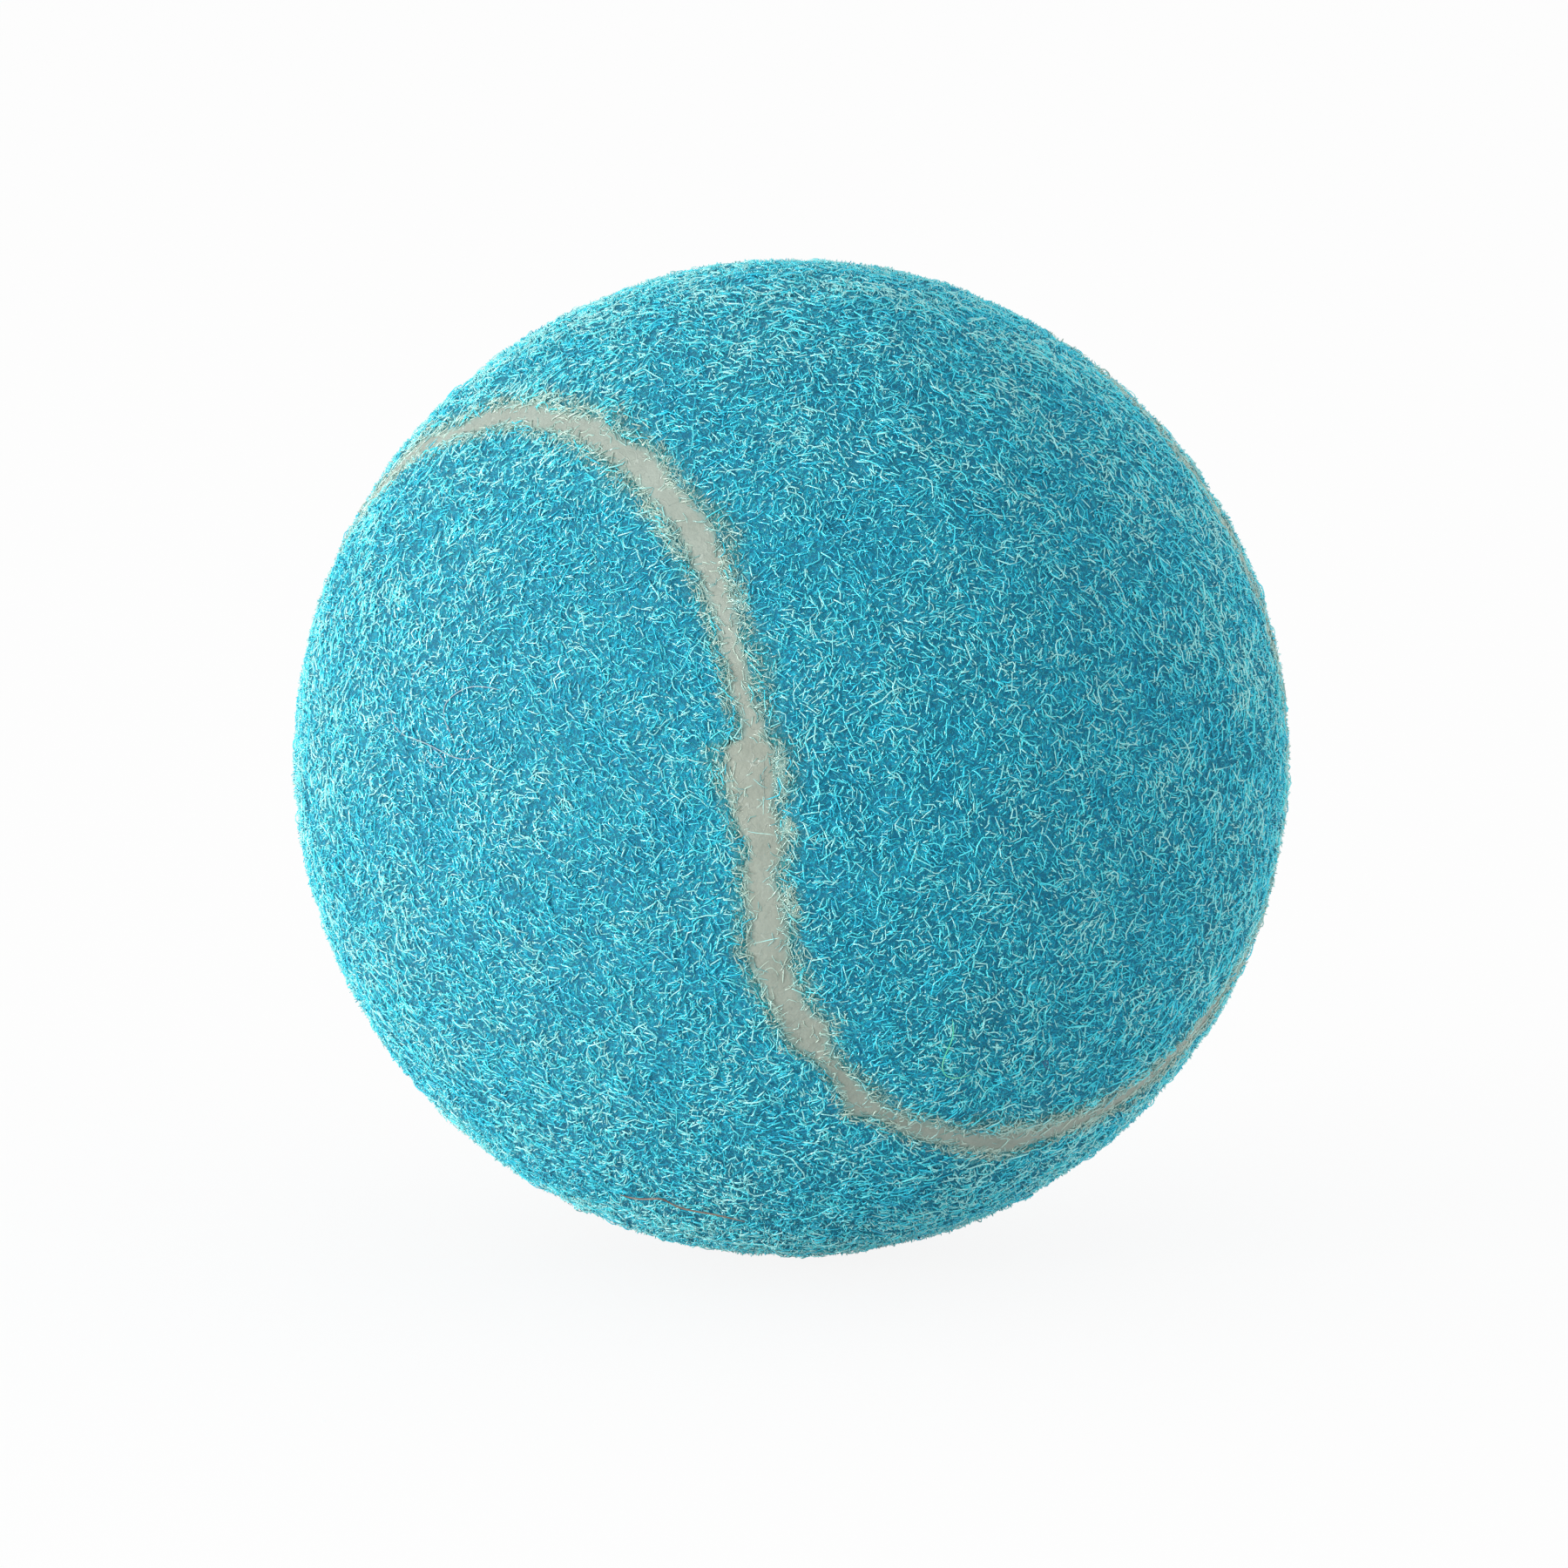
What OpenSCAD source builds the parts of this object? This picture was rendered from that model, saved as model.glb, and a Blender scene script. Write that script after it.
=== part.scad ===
/* [Ball] */
// Diameter over the felt
ball_d = 67; // [65.4:0.1:68.6]
/* [Core] */
// Wall of each moulded rubber half-shell
core_wall = 3.2; // [2.6:0.1:4]
// Thickness of the cement ring between the two rims
joint_t = 0.3; // [0.2:0.05:0.6]
// Thickness of the rubber solution over the whole core
core_coat_t = 0.2; // [0.15:0.05:0.4]
/* [Cover] */
// Thickness of the napped cloth, from its woven back to the tips of the nap
felt_t = 2.9; // [2.2:0.1:3.6]
// Thickness of the rubber coat on the back of each panel
back_coat_t = 0.25; // [0.15:0.05:0.4]
// Angle at the ball's centre from the middle of a panel's neck to the middle of either round end
lobe_turn = 100; // [95:1:110]
/* [Seam] */
// Gap between the cut edges of the two panels
seam_w = 2.2; // [1.6:0.1:3]
// How far the seam rubber lies below the tips of the nap
seam_drop = 0.6; // [0.3:0.1:1.2]
/* [Lie] */
// Turn of the cover about X, which comes first
lie_x = 6; // [-90:1:90]
// Turn of the cover about Y
lie_y = -12; // [-90:1:90]
// Turn of the cover about Z, which comes last
lie_z = -49; // [-180:1:180]

/* [Hidden] */
$fn = 96;
ball_r = ball_d / 2;
felt_r = ball_r - felt_t;
back_r = felt_r - back_coat_t;
core_r = back_r - core_coat_t;
hollow_r = core_r - core_wall;
seam_r = ball_r - seam_drop;
// How far a cutting shape runs past what it cuts
overrun = 1;
reach = ball_r + overrun;
// The seam's middle line is four arcs of this angular radius, one round each round end
arc_angle = acos(-pow(cos(lobe_turn), 2)) / 2;
// Half the gap between the panels, as an angle at the ball's centre
half_gap_angle = seam_w / 2 / ball_r * 180 / PI;
// Where two arcs meet, the panel's edge steps in by this share of half the gap, so its faces stay apart
step_share = 0.02;
end_angle = arc_angle - half_gap_angle * (1 - step_share);
bite_angle = arc_angle + half_gap_angle;
// How far the seam leans from the poles' direction where two arcs meet
lean = acos(-cos(lobe_turn) / sin(arc_angle));
// The cover's round surfaces start their turn here, clear of the planes that cut them
ball_start = [25, 35, 0];
cone_start = 37;

// A hollow ball between two radii
module layer(inner_r, outer_r) {
    difference() {
        sphere(r = outer_r);
        sphere(r = inner_r);
    }
}

// The same for the cover
module cover_layer(inner_r, outer_r) {
    rotate(ball_start)
        layer(inner_r, outer_r);
}

// Everything above the given height, out past the ball
module above(height) {
    translate([-reach, -reach, height])
        cube([2 * reach, 2 * reach, reach]);
}

// Everything on the +Y side
module beyond_y() {
    translate([-reach, 0, -reach])
        cube([2 * reach, reach, 2 * reach]);
}

// A cone from the ball's centre along +Z that cuts a circle of the given angle out of the ball
module cone(angle) {
    rotate(cone_start)
        cylinder(h = reach, r1 = 0, r2 = reach * tan(angle));
}

// The first panel near the point where two arcs of the seam meet, drawn with that point on +Z.
// On the -Y side the other panel's round end bites the neck, and on the +Y side is the panel's own round end.
module crossing(inner_r, outer_r) {
    difference() {
        cover_layer(inner_r, outer_r);
        rotate([0, -arc_angle, 0])
            cone(bite_angle);
        beyond_y();
    }
    intersection() {
        cover_layer(inner_r, outer_r);
        rotate([0, arc_angle, 0])
            cone(end_angle);
        beyond_y();
    }
}

// A quarter of the first panel, with the neck's middle on +Z and a round end towards +X
module quarter(inner_r, outer_r) {
    intersection() {
        rotate([0, 90, 45])
            rotate([0, 0, -lean])
                crossing(inner_r, outer_r);
        translate([0, 0, -reach])
            cube([reach, reach, 2 * reach]);
    }
}

// Half of the first panel, cut along its length
module long_half(inner_r, outer_r) {
    quarter(inner_r, outer_r);
    mirror([1, 0, 0])
        quarter(inner_r, outer_r);
}

// One whole dumbbell-shaped panel, wrapped round the ball between two radii
module dumbbell(inner_r, outer_r) {
    long_half(inner_r, outer_r);
    mirror([0, 1, 0])
        long_half(inner_r, outer_r);
}

// Puts the cover where it lies on the ball
module laid() {
    rotate([lie_x, lie_y, lie_z])
        children();
}

// Turns the first panel into the place of the second
module other_side() {
    rotate(a = 180, v = [1, 1, 0])
        children();
}

// Half of the core: an open rubber cup whose rim stands back from the joint by half the cement
module core_cup() {
    intersection() {
        layer(hollow_r, core_r);
        above(joint_t / 2);
    }
}

module core_half_a() {
    color("dimgray")
        core_cup();
}

module core_half_b() {
    color("dimgray")
        rotate([180, 0, 0])
            core_cup();
}

// The cement between the rims, as wide as the wall
module core_joint_cement() {
    color("burlywood")
        difference() {
            layer(hollow_r, core_r);
            above(joint_t / 2);
            rotate([180, 0, 0])
                above(joint_t / 2);
        }
}

module core_cement_coat() {
    color("tan")
        layer(core_r, back_r);
}

module panel_back_coat_a() {
    color("linen")
        laid()
            dumbbell(back_r, felt_r);
}

module panel_back_coat_b() {
    color("linen")
        laid()
            other_side()
                dumbbell(back_r, felt_r);
}

module felt_panel_a() {
    color("mediumturquoise")
        laid()
            dumbbell(felt_r, ball_r);
}

module felt_panel_b() {
    color("darkturquoise")
        laid()
            other_side()
                dumbbell(felt_r, ball_r);
}

// The ribbon of cured rubber that fills the gap between the panels, and stops short of the nap's tips
module seam_rubber() {
    color("gainsboro")
        laid()
            difference() {
                cover_layer(back_r, seam_r);
                dumbbell(back_r - overrun, ball_r);
                other_side()
                    dumbbell(back_r - overrun, ball_r);
            }
}

core_half_a();
core_half_b();
core_joint_cement();
core_cement_coat();
panel_back_coat_a();
panel_back_coat_b();
felt_panel_a();
felt_panel_b();
seam_rubber();
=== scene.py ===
"""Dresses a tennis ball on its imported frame: two napped felt panels, the seam rubber between
them, and the finishes of the core."""

import math
from typing import NamedTuple

import bmesh
import bpy
import numpy as np
from bpy.props import FloatProperty, FloatVectorProperty, IntProperty, PointerProperty
from mathutils import Euler, Matrix, Vector, noise


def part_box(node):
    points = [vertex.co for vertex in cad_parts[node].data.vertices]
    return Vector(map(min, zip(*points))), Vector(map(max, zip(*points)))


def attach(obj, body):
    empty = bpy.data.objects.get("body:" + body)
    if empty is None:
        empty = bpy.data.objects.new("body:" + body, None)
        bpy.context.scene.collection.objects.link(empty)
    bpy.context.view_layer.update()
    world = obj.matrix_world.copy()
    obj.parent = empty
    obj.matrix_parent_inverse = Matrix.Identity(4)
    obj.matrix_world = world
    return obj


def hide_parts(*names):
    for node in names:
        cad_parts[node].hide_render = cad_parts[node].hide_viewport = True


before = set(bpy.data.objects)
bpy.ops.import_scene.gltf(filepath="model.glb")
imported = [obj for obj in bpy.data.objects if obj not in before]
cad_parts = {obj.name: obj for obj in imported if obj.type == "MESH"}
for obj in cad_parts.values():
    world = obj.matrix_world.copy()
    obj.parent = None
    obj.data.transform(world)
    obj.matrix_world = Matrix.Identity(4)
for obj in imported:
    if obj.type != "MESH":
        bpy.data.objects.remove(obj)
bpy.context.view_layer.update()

bl_info = {
    "name": "Tennis ball",
    "version": (1, 0, 0),
    "blender": (4, 5, 0),
    "location": "3D View > Sidebar > Tennis ball",
    "description": "Felt cover, seam rubber and core finishes of a tennis ball",
    "category": "Object",
}

MM = 0.001

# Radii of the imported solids
FELT_LOW, FELT_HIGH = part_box("felt_panel_a")
BALL_R = (FELT_HIGH.x - FELT_LOW.x) / 2
COAT_LOW, COAT_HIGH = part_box("core_cement_coat")
COAT_R = (COAT_HIGH.z - COAT_LOW.z) / 2
BACK_COAT = 0.25 * MM
FELT_R = COAT_R + BACK_COAT
SEAM_R = 32.9 * MM

# The seam's middle line, as in the solids: four arcs, one round each round end of a panel
LOBE_TURN = math.radians(100)
LOBE_SIN, LOBE_COS = math.sin(LOBE_TURN), math.cos(LOBE_TURN)
ARC_ANGLE = math.acos(-(LOBE_COS**2)) / 2
HALF_SWEEP = math.atan2(1, LOBE_COS)
LIE = Euler((math.radians(6), math.radians(-12), math.radians(-49)), "XYZ").to_matrix()
LIE_ROWS = np.array(LIE)
ALONG = math.sin(ARC_ANGLE) * SEAM_R
ROUND_TRIP = 8 * HALF_SWEEP * ALONG

# How the bare seam runs, read off the photograph, in millimetres: how far along from the crossing
# that faces the camera, and how far its two edges lie from the middle line, plus on the first
# panel's side
SEAM_EDGES = (
    (-66, -0.8, 0.8), (-50, -0.6, 1.3), (-47, -1.2, 0.2), (-45, -1.15, 0.0), (-42.5, -1.15, 0.85),
    (-38, -0.85, 1.0), (-36, -1.0, 0.6), (-33.5, -0.9, 0.75), (-31.5, -0.8, 1.1), (-29, -0.8, 0.6),
    (-26.5, -0.8, 1.3), (-23, -0.7, 0.9), (-20, -0.6, 1.2), (-17, -0.8, 1.2), (-14, -0.75, 0.45),
    (-11, -1.0, 0.1), (-8, -1.1, 0.1), (-7, -1.0, 0.1), (-6.2, -0.6, 0.45), (-5, -0.65, 0.6),
    (-4.6, -0.7, 0.65), (-4.25, -1.85, 0.7), (-4.0, -1.95, 1.0), (-3.3, -1.95, 1.2),
    (-2, -2.0, 1.15), (-1, -1.85, 1.0), (0, -1.65, 0.95), (1, -1.3, 1.4), (2, -0.75, 1.55),
    (3, -0.5, 1.5), (4, -1.0, 1.0), (5, -0.95, 0.65), (6.2, -1.05, 1.1), (8, -1.15, 0.95),
    (9.3, -1.8, 0.8), (11, -1.7, 0.45), (13.5, -1.45, 0.35), (15, -1.5, 0.45), (16, -1.5, 1.1),
    (17, -1.3, 0.6), (18, -0.95, 0.25), (19.5, -0.7, 0.15), (22, -1.05, 0.25), (23.5, -1.65, 0.25),
    (24.8, -0.6, 0.3), (27, -0.6, 0.45), (29.5, -0.45, 1.0), (31, -0.25, 1.1), (34, -0.35, 1.2),
    (37, -0.3, 1.8), (39, 0.4, 2.1), (43, 0.8, 2.3), (47, 1.0, 2.6), (52, 1.1, 2.9), (57, 0.9, 2.6),
    (66, -0.8, 0.8),
)

# Where the seam rubber is warmer and darker in the photograph: millimetres along, and how much.
# Partly the rubber's own tone, partly painted light and shade: lighter on the upper left, darker at
# the front and lower right
WARMTH_AND_SHADE = (
    (-66, 0.4), (-30, 0.35), (-12, 0.5), (-6, 0.7), (-4.5, 1.1), (0, 1.1), (4, 0.9), (30, 0.9),
    (66, 0.5),
)

# Clumps of soaked strands beside the seam: how far along and across, half their length and width,
# in millimetres, and how many strands
CLUMPS = (
    (-2.2, 1.5, 1.6, 0.3, 230), (1.3, 1.9, 0.6, 0.35, 80), (6.5, 1.7, 1.6, 0.4, 90),
    (-14, 1.1, 2.5, 0.5, 120), (-21, -1.3, 3.0, 0.5, 130), (36, 2.0, 3.0, 0.5, 120),
)

# Foreign fibres caught in the nap, and marks and strands on the seam rubber: name, colour, width,
# how far below the ball's outside each lies, or None on the rubber, and its run in the photograph,
# right of and above the ball's centre, all in millimetres
STRAYS = (
    ("hair", "brown", 0.13, -0.03, (
        (-11.4, -29.1), (-10.5, -29.4), (-9.4, -29.4), (-8.6, -29.3), (-7.9, -29.8), (-7.0, -30.1),
        (-5.8, -30.3), (-4.6, -30.5), (-3.1, -30.9),
    )),
    ("pink_arc", "pink", 0.075, 0.27, (
        (-19.4, 4.5), (-20.2, 4.7), (-21.1, 4.8), (-21.8, 4.6), (-22.5, 4.2), (-23.0, 3.7),
        (-23.2, 3.2), (-23.1, 2.3), (-22.6, 1.5), (-22.3, 0.6),
    )),
    ("pink_sweep", "pink", 0.075, 0.26, (
        (-26.7, 3.2), (-26.6, 2.5), (-26.4, 2.0), (-25.8, 1.4), (-24.9, 1.2), (-23.8, 0.7),
        (-22.8, 0.1), (-21.8, -0.2), (-20.8, 0.0),
    )),
    ("pink_loop", "pink", 0.07, 0.28, (
        (-24.6, 0.5), (-24.3, -0.4), (-23.4, -0.8), (-23.1, -0.4), (-23.3, 0.2), (-23.9, 0.6),
    )),
    ("pink_wisp", "pink", 0.06, 0.28, ((-24.4, 6.2), (-25.0, 5.9), (-25.4, 5.3), (-25.3, 4.7))),
    ("green_loop", "green", 0.08, 0.04, (
        (10.7, -17.4), (10.8, -18.2), (10.7, -18.8), (10.4, -19.4), (10.1, -20.1), (10.0, -20.6),
        (10.1, -21.0), (10.4, -21.3), (11.1, -21.4), (11.9, -21.1),
    )),
    ("scratch", "mark", 0.05, None, ((-2.85, -0.3), (-2.6, -0.34), (-2.3, -0.42))),
    # A thin dark thread laid on the rubber along a line
    ("dark_line", "mark", 0.045, None, (
        (-1.85, 0.2), (-1.84, -0.6), (-1.9, -1.4), (-1.86, -2.2), (-1.8, -2.9),
    )),
    ("nick", "mark", 0.07, None, ((-2.0, -1.25), (-1.85, -1.32), (-1.7, -1.2))),
    ("seam_pale_1", "pale", 0.07, None, (
        (-2.6, -12.4), (-2.0, -12.25), (-1.4, -12.1), (-0.8, -12.0),
    )),
    ("seam_pale_2", "pale", 0.06, None, ((-2.3, -14.2), (-1.9, -13.8), (-1.5, -13.5))),
    ("seam_pale_3", "pale", 0.06, None, (
        (-1.9, -14.3), (-1.5, -13.9), (-1.2, -13.9), (-1.1, -14.2),
    )),
    # Painted highlight: a pale thread laid on the seam where it shows a glint
    ("seam_pale_glint", "pale", 0.06, None, ((-1.8, -2.6), (-1.95, -3.0), (-1.85, -3.4), (-1.9, -3.8))),
    ("seam_pale_5", "pale", 0.06, None, ((-2.9, -4.9), (-2.2, -5.1), (-1.6, -5.0), (-1.1, -5.2))),
    ("dark_knot", "navy", 0.1, 0.12, (
        (16.6, -20.2), (16.9, -20.6), (17.2, -20.4), (16.9, -20.0), (16.6, -20.5), (17.3, -20.9),
    )),
)

# The photograph shows the seam as far along as this, and over the next stretch it turns even
SEEN_SEAM, EVENING = 58 * MM, 8 * MM
# The cut edges are worked out this near to the seam's middle line
EDGE_REACH = 6 * MM
# How far the seam ribbon runs on under the nap, how far it drops there, and half its width before
# it is fitted
TUCK, TUCK_DROP, RIBBON_HALF = 0.55 * MM, 0.4 * MM, 1.2 * MM
# Vertices closer than this are one
WELD = 0.01 * MM
# How far the cut edge of the matted felt goes down past the ribbon's face
EDGE_FOOT = 0.15 * MM
# How deep a strand's ends are rooted, how far it stays above the ribbon, and how far inside the
# cut it is sown
ROOT, OVER_RIBBON, INSET = 0.1 * MM, 0.03 * MM, 0.04 * MM
# The photograph in pixels: its side, the ball's radius, and how far right and up the ball lies
PHOTO_SIDE, PHOTO_BALL, PHOTO_RIGHT, PHOTO_UP = 1800, 570.5, 8.8, 30.2
# The ball's outline in the photograph lies this far inside the tips of the nap
OUTLINE_DEPTH = 0.25 * MM

# The most triangles in one piece, the flat map that is baked, and the seed of all random draws
MOST_FACES, BAKE_MAP, SEED = 180_000, "OFBake", 20


# ------------ the seam's line


def unit(vectors):
    """The same directions, each 1 long."""
    return vectors / np.linalg.norm(vectors, axis=-1, keepdims=True)


def arc_frames():
    """Axis and two directions across it of each of the four arcs, in the order of the seam."""
    s, c = LOBE_SIN, LOBE_COS
    return np.array((
        ((s, 0, c), (c, 0, -s), (0, 1, 0)),
        ((0, s, -c), (0, c, s), (1, 0, 0)),
        ((-s, 0, c), (-c, 0, -s), (0, -1, 0)),
        ((0, -s, -c), (0, -c, s), (-1, 0, 0)),
    ))


def to_seam(points):
    """How far along the seam, and across it towards the first panel, points on the ball lie."""
    p = unit(points) @ LIE_ROWS
    x, y, z = p[..., 0], p[..., 1], p[..., 2]
    ax, ay = np.abs(x), np.abs(y)
    at_end = LOBE_COS * (ax - ay) - LOBE_SIN * z > 0
    sx, sy = np.where(x < 0, -1, 1), np.where(y < 0, -1, 1)
    from_end = np.arccos(np.clip(LOBE_SIN * ax + LOBE_COS * z, -1, 1))
    from_bite = np.arccos(np.clip(LOBE_SIN * ay - LOBE_COS * z, -1, 1))
    across = np.where(at_end, ARC_ANGLE - from_end, from_bite - ARC_ANGLE)
    turn_end = np.arctan2(sx * y, LOBE_COS * ax - LOBE_SIN * z) + HALF_SWEEP
    turn_bite = HALF_SWEEP - np.arctan2(sy * x, LOBE_COS * ay + LOBE_SIN * z)
    start = np.where(at_end, np.where(sx > 0, 0, 4), np.where(sy > 0, 2, 6)) * HALF_SWEEP
    along = (start + np.where(at_end, turn_end, turn_bite)) * ALONG
    return np.where(along > ROUND_TRIP / 2, along - ROUND_TRIP, along), across * SEAM_R


def from_seam(along, across, radius=1.0):
    """The points at those distances along and across the seam, at that radius."""
    turn = np.mod(along, ROUND_TRIP) / ALONG
    arc = np.minimum((turn / (2 * HALF_SWEEP)).astype(int), 3)
    at_end = arc % 2 == 0
    local = turn - arc * 2 * HALF_SWEEP
    t = np.where(at_end, local - HALF_SWEEP, HALF_SWEEP - local)[:, None]
    angle = (ARC_ANGLE + np.where(at_end, -1, 1) * across / SEAM_R)[:, None]
    axis, one, two = (arc_frames()[arc, k] for k in range(3))
    p = np.cos(angle) * axis + np.sin(angle) * (np.cos(t) * one + np.sin(t) * two)
    return p @ LIE_ROWS.T * radius


def wobble(points, size, seed):
    """Smooth noise from about -1 to 1 at each point, with bumps about as wide as size."""
    shift = seed * 17.3
    spots = (points / size).tolist()
    return np.array([noise.noise((x + shift, y - shift, z)) for x, y, z in spots])


def bare_edges(along, cover):
    """How far the two edges of the bare seam lie from its middle line, at those distances along it.
    Both swell and shrink, and on the far side, which isn't photographed, they stray together."""
    rows = np.array(SEAM_EDGES) * MM
    on_line = from_seam(along, 0, SEAM_R)
    far = np.clip((np.abs(along) - SEEN_SEAM) / EVENING, 0, 1)
    stray = far * 0.35 * MM * wobble(on_line, 9 * MM, 1)
    half = far * cover.seam_half
    swell = cover.seam_half * (0.12 + 0.2 * far)
    low = (1 - far) * np.interp(along, rows[:, 0], rows[:, 1]) + stray - half
    high = (1 - far) * np.interp(along, rows[:, 0], rows[:, 2]) + stray + half
    low += swell * wobble(on_line, 2.4 * MM, 2) - cover.overhang
    return low, high + swell * wobble(on_line, 2.4 * MM, 9) + cover.overhang


def inside(points, panel, cover):
    """How far inside the panel's ragged cut edge each point lies, in metres."""
    along, across = to_seam(points)
    edge = np.full(len(points), 1.0)
    near = np.abs(across) < EDGE_REACH
    cut = bare_edges(along[near], cover)[panel > 0]
    rag = 0.22 * wobble(points[near], 1.0 * MM, 3) + 0.2 * wobble(points[near], 0.42 * MM, 4)
    edge[near] = panel * (across[near] - cut) + rag * MM
    return np.where(near, edge, panel * across)


def beside_seam(points, edge):
    """1 on the cut edge, falling to 0 inside it over a width that comes and goes. It is wider on
    the first panel, and narrower where the photograph shows little wetted felt."""
    along, across = to_seam(points)
    width = np.where(across > 0, 2.0, 1.4) * MM * (1 + 0.6 * wobble(points, 4.5 * MM, 24))
    width *= np.where((along > 9 * MM) & (along < 30 * MM), 0.7, 1)
    return np.clip(1 - edge / width, 0, 1)


def ribbon_top(points):
    """Radius of the seam rubber's face, which has sunk and rippled as it cured."""
    way = unit(points) * SEAM_R
    sunk = SEAM_R - 0.05 * MM
    return sunk + 0.05 * MM * wobble(way, 1.9 * MM, 7) + 0.025 * MM * wobble(way, 0.5 * MM, 8)


def ground(points, edge, cover):
    """Radius of the matted felt under the nap: lumpy, and rolled down at its cut edge."""
    way = unit(points) * BALL_R
    lumps = wobble(way, cover.lump_size, 5) + 0.6 * wobble(way, 0.42 * cover.lump_size, 6)
    top = BALL_R - cover.nap_height + cover.lump_height * lumps
    foot = SEAM_R - EDGE_FOOT
    t = np.clip(edge / cover.shoulder, 0, 1)
    return foot + (top - foot) * np.sqrt(1 - (1 - t) ** 2)


# ------------ finishes


class Reading:
    """One socket of a finish's tree. Sums, differences and products of readings add Math nodes."""

    def __init__(self, tree, socket):
        self.tree, self.socket = tree, socket

    def _math(self, operation, first, second):
        return self.tree.add("ShaderNodeMath", {"operation": operation}, {0: first, 1: second})

    def __add__(self, other):
        return self._math("ADD", self, other)

    def __mul__(self, other):
        return self._math("MULTIPLY", self, other)

    def __sub__(self, other):
        return self._math("SUBTRACT", self, other)

    def __rsub__(self, other):
        return self._math("SUBTRACT", other, self)

    def __abs__(self):
        return self._math("ABSOLUTE", self, 0.0)

    __radd__ = __add__
    __rmul__ = __mul__


class Finish:
    """The node tree of a material or of the surround, built node by node."""

    def __init__(self, owner):
        self.owner = owner
        owner.use_nodes = True
        self.nodes, self.links = owner.node_tree.nodes, owner.node_tree.links
        self.nodes.clear()

    def add(self, kind, settings=None, inputs=None, output=0):
        """Adds a node, makes its settings, then fills its sockets, and gives one of its outputs."""
        node = self.nodes.new(kind)
        for name, value in (settings or {}).items():
            if name == "stops":
                ramp = node.color_ramp.elements
                while len(ramp) < len(value):
                    ramp.new(0.5)
                for stop, (place, colour) in zip(ramp, value, strict=True):
                    stop.position, stop.color = place, colour
            else:
                setattr(node, name, value)
        for name, value in (inputs or {}).items():
            if isinstance(value, Reading):
                self.links.new(value.socket, node.inputs[name])
            else:
                node.inputs[name].default_value = value
        return Reading(self, node.outputs[output]) if node.outputs else node

    def carried(self, name):
        """A value that the piece's own vertices carry."""
        return self.add("ShaderNodeAttribute", {"attribute_name": name}, output="Fac")

    def place(self):
        return self.add("ShaderNodeTexCoord", output="Object")

    def speckle(self, scale, detail=2.0, roughness=0.5, distortion=0.0):
        """Noise on the piece's own coordinates, from about 0.3 to 0.7."""
        inputs = {"Vector": self.place(), "Scale": scale, "Detail": detail}
        inputs |= {"Roughness": roughness, "Distortion": distortion}
        return self.add("ShaderNodeTexNoise", inputs=inputs)

    def tangle(self, scale, seed, width):
        """Fine curling lines, 1 on a line and 0 off it, that run like the fibres of a mat."""
        inputs = {"Vector": self.place(), "W": seed, "Scale": scale}
        inputs |= {"Detail": 1.0, "Distortion": 0.6}
        field = self.add("ShaderNodeTexNoise", {"noise_dimensions": "4D"}, inputs)
        return self.ramp(abs(field - 0.5), 0.0, width, (1.0, 0.0))

    def ramp(self, value, low, high, levels=(0.0, 1.0)):
        """A grey ramp between two places, from the first level to the second."""
        shades = [(at, opaque((level,) * 3)) for at, level in zip((low, high), levels, strict=True)]
        return self.add("ShaderNodeValToRGB", {"stops": shades}, {"Fac": value})

    def blend(self, share, first, second):
        """One colour laid over another by a share."""
        inputs = {0: share, 6: opaque(first), 7: opaque(second)}
        return self.add("ShaderNodeMix", {"data_type": "RGBA"}, inputs, output=2)

    def bump(self, height, distance, strength):
        inputs = {"Height": height, "Distance": distance, "Strength": strength}
        return self.add("ShaderNodeBump", inputs=inputs)

    def close(self, **sockets):
        """The surface itself, with underscores in the socket names read as spaces."""
        named = {name.replace("_", " "): value for name, value in sockets.items()}
        shader = self.add("ShaderNodeBsdfPrincipled", inputs=named)
        self.add("ShaderNodeOutputMaterial", inputs={"Surface": shader})
        return self.owner


def finish(name):
    return Finish(bpy.data.materials.new(name))


def opaque(colour):
    """A plain colour made solid. A colour that comes from a node stays as it is."""
    return colour if isinstance(colour, Reading) else (*colour, 1.0)


def unseen_by_eye(tree):
    """1 for light that falls on things, 0 for what is seen straight, mirrored or through glass."""
    rays = ("Is Camera Ray", "Is Glossy Ray", "Is Transmission Ray")
    camera, glossy, through = (tree.add("ShaderNodeLightPath", output=ray) for ray in rays)
    return (1 - camera) * (1 - glossy) * (1 - through)


def felt_finish(colours):
    """The mat under the strands: painted shade, a dark colour, in its gaps, and three layers of
    fibres over them, each higher one painted lighter.
    """
    tree = finish("matted felt")
    patches = tree.ramp(tree.speckle(260, 4, 0.6), 0.36, 0.64)
    low = tree.tangle(2100, 1.0, 0.07)
    middle = tree.tangle(2900, 5.0, 0.045)
    top = tree.tangle(2500, 9.0, 0.028)
    # Painted shade: the gaps between the mat's fibres are dark, and each higher layer of fibres is
    # lighter
    base = tree.blend(low * 0.8, colours.felt_gap_shade, colours.felt_deep)
    base = tree.blend(middle * (0.35 + 0.6 * patches), base, colours.felt_mid)
    base = tree.blend(top * (0.35 + 0.6 * patches), base, colours.felt_light)
    soaked = tree.ramp(tree.speckle(700, 3, 0.6), 0.34, 0.56)
    # Beside the seam the gaps take a greener colour where the rubber wetted the felt, still dark as
    # painted shade
    rubbery = tree.blend(0.9 * middle, colours.felt_cut, colours.wetted)
    beside = tree.ramp(tree.carried("cut"), 0.0, 0.7)
    base = tree.blend(beside * (0.35 + 0.6 * soaked), base, rubbery)
    return tree.close(
        Base_Color=base,
        Roughness=0.9,
        Normal=tree.bump(0.5 * low + 0.8 * middle + top, 0.09 * MM, 0.9),
        Sheen_Weight=0.05,
        Sheen_Roughness=0.4,
        Specular_IOR_Level=0.15,
    )


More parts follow.
